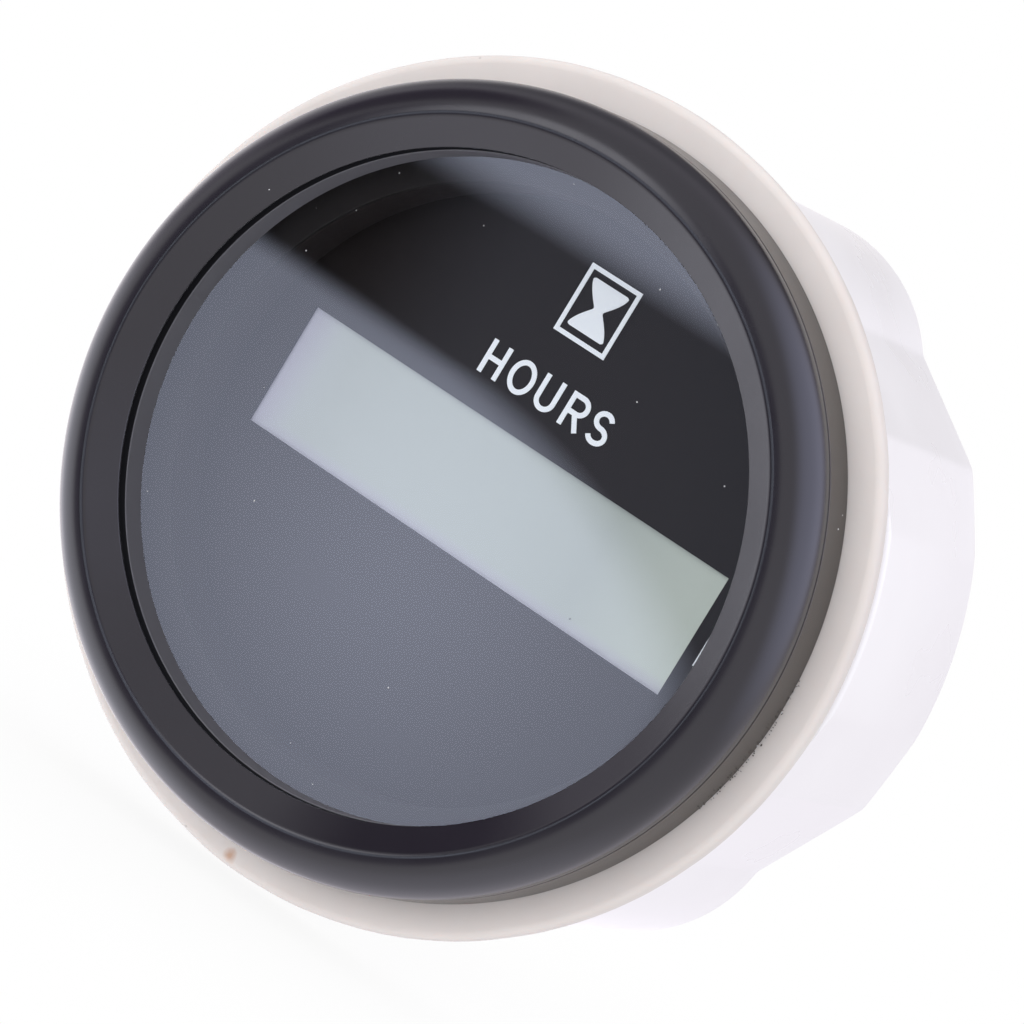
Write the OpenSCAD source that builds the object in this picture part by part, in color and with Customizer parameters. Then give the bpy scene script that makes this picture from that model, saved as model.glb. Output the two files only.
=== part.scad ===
// Round panel-mount hour meter: rolled bezel, flat lens, deep dial with a wide liquid crystal
// display, soft panel gasket and a long lobed ring nut on the threaded barrel.
// The origin is the centre of the panel seat. The dial faces -Y and reads upright along +Z.

/* [Bezel] */
// Height of the bezel's straight side
bezel_side_h = 4.15; // [3.5:0.05:6]
// Distance of the rounded crest in from the bezel's side
bezel_crest_inset = 3; // [2:0.25:4]
// Height of the crest above the straight side
bezel_crest_h = 3.8; // [3:0.1:5]
// How far the lip covers the lens's edge
bezel_lip_cover = 1.5; // [0.5:0.1:2.5]
// Drop from the crest to the lip's edge
bezel_lip_drop = 2.2; // [1.5:0.1:3]
// Wall of the bezel's side
bezel_wall = 1; // [0.8:0.05:1.2]
// Thickness of the edge rolled in behind the flange
bezel_roll_t = 0.8; // [0.5:0.05:1]
// Radius of the rounded outer slope
bezel_slope_r = 5.5; // [4:0.5:12]
// Radius of the crest
bezel_crest_r = 0.5; // [0.3:0.05:0.8]

/* [Lens] */
// Thickness of the lens
lens_t = 2; // [1.5:0.1:2.5]
// Depth of the lens face below the lip's edge
lens_recess = 3.3; // [2.5:0.1:4]
// Thickness of the lens seal
seal_t = 0.5; // [0.3:0.05:0.8]

/* [Dial] */
// Depth of the dial face below the lens face
dial_depth = 7.25; // [6:0.05:9]
// Thickness of the dial plate
dial_t = 0.5; // [0.3:0.05:1]
// Wall of the spacer ring between the lens seal and the dial
spacer_wall = 0.6; // [0.4:0.05:1]
// Lap of the dial over each end of the display cell
window_end_lap = 1.5; // [1:0.1:4]
// Lap of the dial over the top and bottom of the cell's rear glass
window_lap = 0.6; // [0.2:0.1:1.8]
// Height of the window's centre above the axis
window_y = 0.3; // [-0.8:0.1:0.8]

/* [Display] */
// Wall of the display frame at each end of the cell
lcd_end_wall = 2.5; // [2.2:0.1:3.5]
// Height of the display cell's front glass
lcd_h = 17; // [16.6:0.1:18]
// Thickness of one glass of the cell
lcd_glass_t = 1.1; // [0.7:0.1:1.4]
// Height of the contact ledge on the front glass
lcd_ledge = 2.7; // [2.4:0.1:2.8]
// Thickness of a contact strip
strip_t = 1.4; // [1:0.1:1.6]
// Distance of a contact strip's ends from the cell's ends
strip_end = 2; // [1.5:0.1:4]
// Thickness of the light guide
guide_t = 5.2; // [4:0.1:5.4]
// Ledge that carries the display cell's rear glass
guide_ledge = 0.3; // [0.2:0.05:0.5]
// Height of a backlight lamp
lamp_t = 1.9; // [1.2:0.1:2.2]

/* [Circuit board] */
// Width of the housing's ledge that carries the display frame
board_ledge = 2; // [1.4:0.1:2.5]
// Thickness of the circuit board
board_t = 1.6; // [1:0.1:2]
// Distance of the board screws in from the board's edge
screw_inset = 2.3; // [2.1:0.1:2.9]
// Shank diameter of a board screw
screw_d = 2.2; // [1.8:0.1:2.6]
// Head diameter of a board screw
screw_head_d = 3.8; // [3.4:0.1:4]
// Length of a board screw under its head
screw_len = 6; // [5:0.5:8]
// Side of the microcontroller's package
chip_w = 10; // [8:0.5:11]
// Diameter of the supply capacitor
capacitor_d = 8; // [6:0.5:9]
// Height of the supply capacitor
capacitor_h = 10; // [7:0.5:12]
// Side of a backlight lamp
lamp_w = 2.8; // [2:0.1:3.4]

/* [Housing] */
// Diameter at the root of the barrel's thread
barrel_d = 51.4; // [46:0.1:58]
// Depth of the housing behind the panel seat
barrel_depth = 32; // [30:0.5:45]
// Length of the thread behind the panel seat
thread_len = 24.5; // [23:0.5:28]
// Step from the thread's root in to the plain lead-in behind it
pilot_step = 0.4; // [0.2:0.05:0.6]
// Step from the barrel out to the register that centres the gasket
register_step = 2.5; // [2.2:0.1:4]
// Width of the front flange outside the register
flange_w = 1.7; // [1.2:0.1:3]
// Wall of the barrel
barrel_wall = 1; // [0.8:0.05:1.1]
// Thickness of the rear wall
rear_wall = 2; // [1.5:0.1:3]
// Chamfer at the barrel's rear edge
barrel_chamfer = 0.8; // [0.4:0.1:1]
// Height of the thread above its root
thread_h = 0.3; // [0.2:0.05:0.4]
// Wall round the lens recess and below it
recess_wall = 1; // [0.8:0.05:1.2]

/* [Panel gasket] */
// How far the gasket stands out past the bezel
gasket_overhang = 2.95; // [1:0.05:6]
// Thickness of the gasket
gasket_t = 1.8; // [1.2:0.1:3]
// Radius of the gasket's rounded outer edge
gasket_round = 0.7; // [0.3:0.05:0.8]

/* [Ring nut] */
// Wall of the nut under a broad lobe's crown
nut_wall = 7.8; // [6.5:0.05:9]
// Length of the nut
nut_len = 22.5; // [15:0.5:23]
// Number of broad lobes, each with a rib on both sides
nut_lobes = 2; // [2:1:3]
// Half angle of a lobe's round crown
crown_angle = 12; // [8:0.5:15]
// Half angle at a lobe's shoulders
shoulder_angle = 24.5; // [20:0.5:28]
// Half angle at the valleys beside a lobe
valley_angle = 42; // [36:0.5:44]
// Drop of the shoulders below the crown
shoulder_drop = 0.3; // [0.1:0.05:0.8]
// Drop of the valleys below the crown
valley_drop = 1.95; // [1:0.05:2.5]
// Angle between a lobe's middle and the ribs beside it
rib_angle = 55; // [52:0.5:60]
// Drop of a rib's top below the crown
rib_drop = 0.6; // [0.2:0.05:0.9]
// Radius of a rib's round top
rib_r = 13; // [11:0.1:17]
// Drop of the round waist between the ribs below the crown
waist_drop = 2.85; // [2:0.05:3.5]
// Angle of the first lobe above the horizontal
nut_turn = 14.5; // [0:0.5:60]
// Chamfer round the nut's ends
nut_chamfer = 0.7; // [0.4:0.1:1]
// Radial clearance over the thread
nut_clear = 0.05; // [0.03:0.01:0.1]
// Gap in front of the nut at rest
nut_gap = 0.4; // [0.3:0.1:1]

/* [Terminals] */
// Width of a blade
blade_w = 6.3; // [4.8:0.1:6.5]
// Thickness of a blade
blade_t = 0.8; // [0.5:0.1:1]
// Length of a blade behind its collar
blade_len = 8; // [6:0.5:10]
// Diameter of the latch hole in a blade
blade_hole_d = 1.65; // [1.2:0.05:2]
// Width of a blade's inner tail
tail_w = 2; // [1.2:0.1:3]
// Length of a blade's tail past the board
tail_past = 1; // [0.5:0.1:1.2]
// Height of the collar round a blade
collar_h = 2; // [1:0.25:3]
// Wall of the collar round a blade
collar_wall = 1.2; // [0.8:0.1:1.6]
// Sideways distance of the lower blades from the axis
blade_x = 9; // [7:0.25:11]
// Distance of the lower blades below the axis
blade_low = 4; // [2.5:0.25:4.2]
// Distance of the upper blade above the axis
blade_high = 4; // [2.5:0.25:4.2]

/* [Hidden] */
$fn = 96;

// Clearances between pieces
slip = 0.2;
snug = 0.1;
close = 0.05;
// Overshoot of a cut past the face it opens
past = 1;

// Stack along the axis, counted forward from the panel seat
bezel_rear_z = gasket_t;
bezel_edge_z = bezel_rear_z + bezel_side_h;
crest_z = bezel_edge_z + bezel_crest_h;
lip_z = crest_z - bezel_lip_drop;
lens_z = lip_z - lens_recess;
seal_z = lens_z - lens_t;
recess_z = seal_z - seal_t;
register_z = min(recess_z - recess_wall, bezel_rear_z - recess_wall);
frame_h = 2 * lcd_glass_t + guide_t + slip + lamp_t;
dial_z = lens_z - dial_depth;
frame_z = dial_z - dial_t;
rear_glass_z = frame_z - lcd_glass_t;
guide_z = rear_glass_z - lcd_glass_t;
board_z = frame_z - frame_h;
parts_z = board_z - board_t;
floor_z = rear_wall - barrel_depth;
nut_z = min(0, register_z) - nut_gap;

// Radii
barrel_r = barrel_d / 2;
pilot_r = barrel_r - pilot_step;
bore_r = barrel_r - barrel_wall;
insert_r = bore_r - slip;
ledge_r = bore_r - board_ledge;
board_r = ledge_r - slip;
register_r = barrel_r + register_step;
recess_r = register_r - recess_wall;
lens_r = recess_r - slip;
roll_r = register_r + slip;
flange_r = register_r + flange_w;
cup_r = flange_r + snug;
bezel_r = cup_r + bezel_wall;
crest_r = bezel_r - bezel_crest_inset;
lip_r = lens_r - bezel_lip_cover;
gasket_r = bezel_r + gasket_overhang;
nut_bore_r = barrel_r + thread_h + nut_clear;
crown_r = nut_bore_r + nut_wall;
screw_r = screw_d / 2;
screw_pitch_r = board_r - screw_inset;

// Display cell, its window and the display frame's pockets
lcd_w = 2 * (insert_r - lcd_end_wall);
window_w = lcd_w - 2 * window_end_lap;
guide_w = lcd_w - 2 * guide_ledge - 2 * slip;
strip_w = lcd_w - 2 * strip_end;
rear_glass_h = lcd_h - 2 * lcd_ledge;
window_h = rear_glass_h - 2 * window_lap;
guide_h = rear_glass_h - 2 * guide_ledge;
strip_y = lcd_h / 2 - lcd_ledge / 2;
screw_angles = [44, 136, 224, 316];

// Places of the pieces on the board, with their distances in from its edge
blade_places = [[-blade_x, -blade_low], [blade_x, -blade_low], [0, blade_high]];
chip_inset = 9.5;
chip_place = [0, chip_inset - board_r];
chip_t = 1.4;
chip_lead = 1;
chip_lead_t = 0.3;
memory_size = [5, 4, 1.6];
memory_place = [-10.5, 8];
crystal_size = [11, 4.6, 3.5];
can_inset = 6;
crystal_place = [0, board_r - can_inset];
capacitor_place = [board_r - can_inset, 3];
regulator_size = [6.5, 6, 2.3];
regulator_inset = 5.5;
regulator_place = [regulator_inset - board_r, 1];
diode_size = [5, 2.6, 2.3];
diode_place = [8, 10];
resistor_size = [2, 1.25, 0.6];
resistor_places = [[-9, -14], [-9, -11], [9, -14], [9, -11], [-5, 9]];
lamp_inset = 4.5;
lamp_x = guide_w / 2 - lamp_inset;
screw_head_h = 1.6;
blade_tip = 1.2;
blade_stop = 1.5;
blade_stop_wide = 1;

// Turns a piece drawn along the axis, front upwards, so that its front faces -Y
module facing() rotate([90, 0, 0]) children();

// Ring or disc between two heights
module ring(outer_r, inner_r, low_z, high_z) translate([0, 0, low_z]) difference() {
    cylinder(r = outer_r, h = high_z - low_z);
    translate([0, 0, -past]) cylinder(r = inner_r, h = high_z - low_z + 2 * past);
}

// Block centred on a place, between two heights
module block(size, place, low_z, high_z)
    translate([place[0] - size[0] / 2, place[1] - size[1] / 2, low_z])
        cube([size[0], size[1], high_z - low_z]);

// Points of an arc about a centre
function arc(centre, r, from, to, steps) =
    [for (i = [0 : steps]) let (a = from + (to - from) * i / steps) centre + r * [cos(a), sin(a)]];

// Angle of the line from one point to another
function heading(p, q) = atan2(q[1] - p[1], q[0] - p[0]);

// Centre of the arc that bulges outwards from p down to q
function slope_centre(p, q, r) =
    let (half = norm(q - p) / 2)
    let (across = [q[1] - p[1], p[0] - q[0]] / (2 * half))
    (p + q) / 2 + across * sqrt(r * r - half * half);

// Rolled bezel: lip, rising inner slope, rounded crest, falling outer slope, side and rolled edge
module bezel_section() {
    lip = [lip_r, lip_z];
    edge = [bezel_r, bezel_edge_z];
    crest_centre = [crest_r, crest_z - bezel_crest_r];
    slope_top = crest_centre + bezel_crest_r * [cos(45), sin(45)];
    rise = heading(lip, crest_centre) + 90;
    centre = slope_centre(slope_top, edge, bezel_slope_r);
    polygon(concat(
        [[lip_r, lens_z], lip],
        arc(crest_centre, bezel_crest_r, rise, 45, 8),
        arc(centre, bezel_slope_r, heading(centre, slope_top), heading(centre, edge), 12),
        [[bezel_r, bezel_rear_z], [roll_r, bezel_rear_z], [roll_r, bezel_rear_z + bezel_roll_t],
         [cup_r, bezel_rear_z + bezel_roll_t], [cup_r, lens_z]]));
}

module bezel() color("#232326") facing() rotate_extrude() bezel_section();

module lens() color("#dfe6ea", 0.3) facing() translate([0, 0, seal_z]) cylinder(r = lens_r, h = lens_t);

module lens_seal() color("#1a1a1a") facing() ring(lens_r, insert_r - spacer_wall, recess_z, seal_z);

module dial_spacer() color("#161617") facing() ring(insert_r, insert_r - spacer_wall, dial_z, recess_z);

// Dial plate with its display window
module dial_plate() color("#1b1a1b") facing() difference() {
    translate([0, 0, frame_z]) cylinder(r = insert_r, h = dial_t);
    block([window_w, window_h], [0, window_y], frame_z - past, dial_z + past);
}

// Two bonded glasses, the front one taller by its contact ledges
module lcd_cell() color("#bac4cb") facing() {
    block([lcd_w, lcd_h], [0, window_y], rear_glass_z, frame_z);
    block([lcd_w, rear_glass_h], [0, window_y], guide_z, rear_glass_z);
}

module light_guide() color("#e8eef0") facing()
    block([guide_w, guide_h], [0, window_y], guide_z - guide_t, guide_z);

module contact_strips() color("#6d7076") facing() for (side = [-1, 1])
    block([strip_w, strip_t], [0, window_y + side * strip_y], board_z, rear_glass_z);

// Moulded carrier of the display, with pockets for the cell, guide, strips and board screws
module display_frame() color("#e9e9e4") facing() difference() {
    translate([0, 0, board_z]) cylinder(r = insert_r, h = frame_h);
    block([lcd_w + 2 * snug, lcd_h + 2 * snug], [0, window_y], rear_glass_z, frame_z + past);
    block([lcd_w + 2 * snug, rear_glass_h + 2 * snug], [0, window_y], guide_z, frame_z + past);
    block([guide_w + 2 * snug, guide_h + 2 * snug], [0, window_y], board_z - past, frame_z);
    for (side = [-1, 1])
        block([strip_w + 2 * snug, strip_t + 2 * snug], [0, window_y + side * strip_y],
            board_z - past, rear_glass_z + close);
    for (a = screw_angles) rotate(a) translate([screw_pitch_r, 0, board_z - past])
        cylinder(r = screw_r + close, h = screw_len - board_t + slip + past);
}

module backlight_lamps() color("#f3efc8") facing() for (side = [-1, 1])
    block([lamp_w, lamp_w], [side * lamp_x, window_y], board_z, board_z + lamp_t);

// Round board with clearance holes for the screws and the blades' tails
module circuit_board() color("#2c6e49") facing() difference() {
    translate([0, 0, parts_z]) cylinder(r = board_r, h = board_t);
    for (a = screw_angles) rotate(a) translate([screw_pitch_r, 0, parts_z - past])
        cylinder(r = screw_r + snug, h = board_t + 2 * past);
    for (place = blade_places)
        block([tail_w + 2 * snug, blade_t + 2 * snug], place, parts_z - past, board_z + past);
}

// Flat package with a row of leads on each side
module microcontroller() color("#2a2a2c") facing() translate(chip_place) {
    block([chip_w, chip_w], [0, 0], parts_z - chip_t, parts_z);
    for (turn = [0 : 90 : 270]) rotate(turn) for (i = [-2 : 2])
        translate([0, i * chip_w / 6, 0])
            block([chip_w + 2 * chip_lead, chip_w / 14], [0, 0], parts_z - chip_lead_t, parts_z);
}

module memory_chip() color("#2a2a2c") facing()
    block(memory_size, memory_place, parts_z - memory_size[2], parts_z);

// Low metal can with round ends
module crystal() color("#c9cbcd") facing() translate(crystal_place) {
    span = crystal_size[0] - crystal_size[1];
    block([span, crystal_size[1]], [0, 0], parts_z - crystal_size[2], parts_z);
    for (side = [-1, 1]) translate([side * span / 2, 0, parts_z - crystal_size[2]])
        cylinder(d = crystal_size[1], h = crystal_size[2]);
}

module supply_capacitor() color("#3a4a6b") facing()
    translate([capacitor_place[0], capacitor_place[1], parts_z - capacitor_h])
        cylinder(d = capacitor_d, h = capacitor_h);

module voltage_regulator() color("#2a2a2c") facing()
    block(regulator_size, regulator_place, parts_z - regulator_size[2], parts_z);

module protection_diode() color("#2a2a2c") facing()
    block(diode_size, diode_place, parts_z - diode_size[2], parts_z);

module chip_resistors() color("#1f1f22") facing() for (place = resistor_places)
    block(resistor_size, place, parts_z - resistor_size[2], parts_z);

module board_screws() color("#c2c5c8") facing() for (a = screw_angles)
    rotate(a) translate([screw_pitch_r, 0, parts_z]) {
        cylinder(r = screw_r, h = screw_len);
        translate([0, 0, -screw_head_h]) cylinder(d = screw_head_d, h = screw_head_h);
    }

// Cup with a stepped front flange, a ledge for the display frame and blade collars at the rear
module housing() color("#f0eff2") facing() difference() {
    union() {
        rotate_extrude() polygon([
            [0, -barrel_depth], [pilot_r - barrel_chamfer, -barrel_depth],
            [pilot_r, barrel_chamfer - barrel_depth], [pilot_r, -thread_len],
            [barrel_r, -thread_len], [barrel_r, register_z],
            [register_r, register_z], [register_r, bezel_rear_z + bezel_roll_t],
            [flange_r, bezel_rear_z + bezel_roll_t], [flange_r, lens_z],
            [recess_r, lens_z], [recess_r, recess_z], [bore_r, recess_z],
            [bore_r, board_z], [ledge_r, board_z], [ledge_r, floor_z], [0, floor_z]]);
        for (place = blade_places)
            block([blade_w + 2 * collar_wall, blade_t + 2 * collar_wall], place,
                -barrel_depth - collar_h, -barrel_depth + close);
    }
    for (place = blade_places)
        block([blade_w + 2 * close, blade_t + 2 * close], place,
            -barrel_depth - collar_h - past, floor_z + past);
}

// Push-on blade with a tapered tip, latch hole, inner stop and tail through the board
module terminal(place) color("#c9a24b") facing() translate(place) {
    root_z = -barrel_depth - collar_h;
    difference() {
        translate([0, blade_t / 2, 0]) rotate([90, 0, 0]) linear_extrude(height = blade_t) polygon([
            [-blade_w / 2, floor_z + blade_stop], [blade_w / 2, floor_z + blade_stop],
            [blade_w / 2, root_z - blade_len + blade_tip],
            [blade_w / 2 - blade_tip, root_z - blade_len],
            [blade_tip - blade_w / 2, root_z - blade_len],
            [-blade_w / 2, root_z - blade_len + blade_tip]]);
        translate([0, blade_t, root_z - blade_len / 2]) rotate([90, 0, 0])
            cylinder(d = blade_hole_d, h = 2 * blade_t);
    }
    block([blade_w + 2 * blade_stop_wide, blade_t], [0, 0], floor_z, floor_z + blade_stop);
    block([tail_w, blade_t], [0, 0], floor_z, board_z + tail_past);
}

module supply_terminal() terminal(blade_places[0]);
module ground_terminal() terminal(blade_places[1]);
module lamp_terminal() terminal(blade_places[2]);

// Soft washer with a rounded outer edge
module panel_gasket() color("#e6e0dc") facing() rotate_extrude() polygon(concat(
    [[roll_r, 0]],
    arc([gasket_r - gasket_round, gasket_round], gasket_round, -90, 0, 6),
    arc([gasket_r - gasket_round, gasket_t - gasket_round], gasket_round, 0, 90, 6),
    [[roll_r, gasket_t]]));

// Point at a radius and an angle
function polar(r, a) = r * [cos(a), sin(a)];

// One broad lobe: flat flanks and shoulders under a round crown
module lobe() intersection() {
    circle(r = crown_r);
    polygon([[0, 0],
        polar(crown_r - valley_drop, -valley_angle), polar(crown_r - shoulder_drop, -shoulder_angle),
        polar(crown_r, -crown_angle), polar(crown_r / cos(crown_angle), 0), polar(crown_r, crown_angle),
        polar(crown_r - shoulder_drop, shoulder_angle), polar(crown_r - valley_drop, valley_angle)]);
}

// Nut's outline: broad lobes with a rounded rib on both sides, standing on a round waist
module nut_outline() {
    circle(r = crown_r - waist_drop);
    for (i = [0 : nut_lobes - 1]) rotate(nut_turn + i * 360 / nut_lobes) {
        lobe();
        for (side = [-1, 1]) rotate(side * rib_angle)
            translate([crown_r - rib_drop - rib_r, 0]) circle(r = rib_r);
    }
}

// Long ring nut, chamfered at both ends inside and out
module ring_nut() color("#f2f1f5") facing() translate([0, 0, nut_z - nut_len]) difference() {
    intersection() {
        linear_extrude(height = nut_len) nut_outline();
        rotate_extrude() polygon([
            [0, 0], [crown_r - nut_chamfer, 0], [crown_r, nut_chamfer],
            [crown_r, nut_len - nut_chamfer], [crown_r - nut_chamfer, nut_len], [0, nut_len]]);
    }
    translate([0, 0, -past]) cylinder(r = nut_bore_r, h = nut_len + 2 * past);
    for (end = [0, 1]) translate([0, 0, end * nut_len]) mirror([0, 0, end])
        translate([0, 0, -close]) cylinder(r1 = nut_bore_r + nut_chamfer + close, r2 = nut_bore_r,
            h = nut_chamfer + close);
}

bezel();
lens();
lens_seal();
dial_spacer();
dial_plate();
lcd_cell();
light_guide();
contact_strips();
display_frame();
backlight_lamps();
circuit_board();
microcontroller();
memory_chip();
crystal();
supply_capacitor();
voltage_regulator();
protection_diode();
chip_resistors();
board_screws();
housing();
supply_terminal();
ground_terminal();
lamp_terminal();
panel_gasket();
ring_nut();
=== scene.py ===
import math
import bpy
import bmesh
from mathutils import Matrix, Vector


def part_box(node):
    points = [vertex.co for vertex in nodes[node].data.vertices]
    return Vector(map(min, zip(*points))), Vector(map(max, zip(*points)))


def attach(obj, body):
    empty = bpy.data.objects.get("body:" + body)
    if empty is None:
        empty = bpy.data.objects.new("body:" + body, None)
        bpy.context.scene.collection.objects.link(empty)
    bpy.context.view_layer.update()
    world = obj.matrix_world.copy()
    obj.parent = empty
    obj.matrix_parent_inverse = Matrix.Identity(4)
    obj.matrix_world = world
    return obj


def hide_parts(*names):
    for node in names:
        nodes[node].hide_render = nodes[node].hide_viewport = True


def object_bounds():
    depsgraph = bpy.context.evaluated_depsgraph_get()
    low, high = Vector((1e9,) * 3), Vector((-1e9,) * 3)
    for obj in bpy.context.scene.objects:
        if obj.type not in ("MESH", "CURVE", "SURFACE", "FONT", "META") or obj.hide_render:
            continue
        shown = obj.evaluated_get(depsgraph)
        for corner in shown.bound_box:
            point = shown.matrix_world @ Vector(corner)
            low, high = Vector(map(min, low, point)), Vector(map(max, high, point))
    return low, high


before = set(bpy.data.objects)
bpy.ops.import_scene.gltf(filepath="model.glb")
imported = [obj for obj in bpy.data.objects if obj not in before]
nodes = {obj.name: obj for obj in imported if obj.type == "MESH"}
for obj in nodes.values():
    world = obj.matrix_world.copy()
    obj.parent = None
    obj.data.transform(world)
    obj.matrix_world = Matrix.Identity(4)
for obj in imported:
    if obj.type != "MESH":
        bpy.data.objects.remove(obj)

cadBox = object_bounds()
mm = 0.001
print("frame loaded:", len(nodes), "nodes")


# small helpers: colours, nodes, outlines

def fromHex(code):
    # sRGB hex to linear colour
    parts = [int(code[i:i + 2], 16) / 255 for i in (1, 3, 5)]
    return [p / 12.92 if p <= 0.04045 else ((p + 0.055) / 1.055) ** 2.4 for p in parts] + [1.0]


def setInputs(tree, node, inputs):
    # links a socket or a node's first output, takes a hex code as a colour and sets anything else as it is
    for key, value in inputs.items():
        if isinstance(value, bpy.types.Node):
            value = value.outputs[0]
        if isinstance(value, bpy.types.NodeSocket):
            tree.links.new(value, node.inputs[key])
        else:
            node.inputs[key].default_value = fromHex(value) if isinstance(value, str) else value


def addNode(tree, kind, inputs=None, **settings):
    node = tree.nodes.new(kind)
    for key, value in settings.items():
        setattr(node, key, value)
    setInputs(tree, node, inputs or {})
    return node


# nodes that come up often: each gives its result's socket

def maths(tree, operation, *values):
    return addNode(tree, "ShaderNodeMath", dict(enumerate(values)), operation=operation).outputs[0]


def vectors(tree, operation, *values):
    node = addNode(tree, "ShaderNodeVectorMath", dict(enumerate(values)), operation=operation)
    return node.outputs["Value" if operation in ("LENGTH", "DISTANCE", "DOT_PRODUCT") else "Vector"]


def scaled(tree, vector, factor):
    return addNode(tree, "ShaderNodeVectorMath", {0: vector, "Scale": factor}, operation="SCALE").outputs[0]


def ramp(tree, value, start=0.0, end=1.0, low=0.0, high=1.0, **settings):
    # low where the value is at its start, high at its end
    inputs = dict(enumerate((value, start, end, low, high)))
    return addNode(tree, "ShaderNodeMapRange", inputs, **settings).outputs[0]


def blend(tree, share, first, second):
    return addNode(tree, "ShaderNodeMix", {0: share, 6: first, 7: second}, data_type="RGBA").outputs[2]


def noise(tree, place, size, detail=3.0):
    inputs = {"Vector": place, "Scale": perMetre(size), "Detail": detail}
    return addNode(tree, "ShaderNodeTexNoise", inputs).outputs[0]


def fromNoise(tree, grain, low, high, least=0.3, most=0.7):
    # most values of a noise texture lie between least and most
    return ramp(tree, grain, least, most, low, high)


def bumps(tree, height, strength, depth):
    inputs = {"Strength": strength, "Distance": depth * mm, "Height": height}
    return addNode(tree, "ShaderNodeBump", inputs).outputs[0]


def axes(tree, place):
    return addNode(tree, "ShaderNodeSeparateXYZ", {0: place}).outputs


def startMaterial(name):
    material = bpy.data.materials.new(name)
    material.use_nodes = True
    tree = material.node_tree
    tree.nodes.clear()
    shader = addNode(tree, "ShaderNodeBsdfPrincipled")
    output = addNode(tree, "ShaderNodeOutputMaterial", {"Surface": shader})
    place = addNode(tree, "ShaderNodeTexCoord").outputs["Object"]
    return material, tree, shader, place, output


def perMetre(size):
    # texture scale for a grain of this many millimetres
    return 1 / (size * mm)


def arcPoints(centre, radius, start, end, steps):
    angles = [math.radians(start + (end - start) * i / steps) for i in range(steps + 1)]
    return [(centre[0] + radius * math.cos(a), centre[1] + radius * math.sin(a)) for a in angles]


def roundedCorners(corners, steps=5, guard=0.03):
    # closed outline from (across, along, radius) corners, each rounded by its radius
    # a guard point beside each rounding keeps the flat next to it flat in its shading
    points = []
    for i, (x, y, radius) in enumerate(corners):
        here = Vector((x, y))
        back = Vector(corners[i - 1][:2]) - here
        ahead = Vector(corners[(i + 1) % len(corners)][:2]) - here
        if radius <= 0:
            points.append((x, y))
            continue
        half = back.angle(ahead) / 2
        reach = radius / math.tan(half)
        centre = here + (back.normalized() + ahead.normalized()).normalized() * radius / math.sin(half)
        first = here + back.normalized() * reach - centre
        turn = first.angle_signed(here + ahead.normalized() * reach - centre)
        if back.length > 2 * (reach + guard):
            points.append(tuple(here + back.normalized() * (reach + guard)))
        for k in range(steps + 1):
            spoke = first.copy()
            spoke.rotate(Matrix.Rotation(-turn * k / steps, 2))
            points.append(tuple(centre + spoke))
        if ahead.length > 2 * (reach + guard):
            points.append(tuple(here + ahead.normalized() * (reach + guard)))
    return points


def facing(across, along, up):
    # millimetres with the front forward to the row frame, where the dial faces -Y
    return Vector((across * mm, -along * mm, up * mm))


def finishPiece(piece, body, standsFor=(), sharpAngle=35, weld=0.0005):
    # closes seams and poles, turns faces outwards and hands the piece to its body
    shape = bmesh.new()
    shape.from_mesh(piece.data)
    bmesh.ops.remove_doubles(shape, verts=shape.verts, dist=weld * mm)
    bmesh.ops.dissolve_degenerate(shape, edges=shape.edges, dist=weld * mm)
    bmesh.ops.recalc_face_normals(shape, faces=shape.faces)
    shape.to_mesh(piece.data)
    shape.free()
    piece.data.shade_smooth()
    piece.data.set_sharp_from_angle(angle=math.radians(sharpAngle))
    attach(piece, body)
    if standsFor:
        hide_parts(*standsFor)
    return piece


def newPiece(name, mesh):
    piece = bpy.data.objects.new(name, mesh)
    bpy.context.scene.collection.objects.link(piece)
    return piece


def meshPiece(name, shape, material):
    # object from a bmesh
    mesh = bpy.data.meshes.new(name)
    shape.to_mesh(mesh)
    shape.free()
    mesh.materials.append(material)
    return newPiece(name, mesh)


def runNodes(piece, tree, values):
    # sets the tree's named inputs, takes its result as a plain mesh and drops the modifier
    modifier = piece.modifiers.new("shape", "NODES")
    modifier.node_group = tree
    for item in tree.interface.items_tree:
        if item.item_type == "SOCKET" and item.in_out == "INPUT" and item.name in values:
            modifier[item.identifier] = values[item.name]
    graph = bpy.context.evaluated_depsgraph_get()
    mesh = bpy.data.meshes.new_from_object(piece.evaluated_get(graph))
    piece.modifiers.remove(modifier)
    piece.data = mesh
    mesh.name = piece.name
    return piece


def startTree(name, numbers, counts):
    # takes a shape, a finish, the named numbers and the named counts
    tree = bpy.data.node_groups.new(name, "GeometryNodeTree")
    sockets = [("Shape", "Geometry"), ("Finish", "Material")]
    sockets += [(label, "Float") for label in numbers] + [(label, "Int") for label in counts]
    for label, kind in sockets:
        tree.interface.new_socket(label, in_out="INPUT", socket_type="NodeSocket" + kind)
    tree.interface.new_socket("Shape", in_out="OUTPUT", socket_type="NodeSocketGeometry")
    return tree, addNode(tree, "NodeGroupInput").outputs


def endTree(tree, shape, finish):
    # every tree ends in real geometry with its material
    real = addNode(tree, "GeometryNodeRealizeInstances", {"Geometry": shape})
    done = addNode(tree, "GeometryNodeSetMaterial", {"Geometry": real, "Material": finish})
    addNode(tree, "NodeGroupOutput", {"Shape": done})
    return tree


# materials

# side: lighter warm brown on the bezel's side wall, a painted reflection of the white gasket behind it
paintLook = {"dark": "#1b1b1e", "light": "#222225", "wall": "#5c5c61", "side": "#38332f", "cloud": 9.0,
             "rub": 5.0, "glossiest": 0.19, "dullest": 0.25, "wallDull": 0.3, "peel": 0.45,
             "peelDepth": 0.02, "peelStrength": 0.06, "shine": 0.5, "gapShine": 0.02, "gapReach": 0.68,
             "gapRise": 0.01, "wallMargin": 0.08, "wallRise": 0.02, "sideRadius": 30.6}


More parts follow.
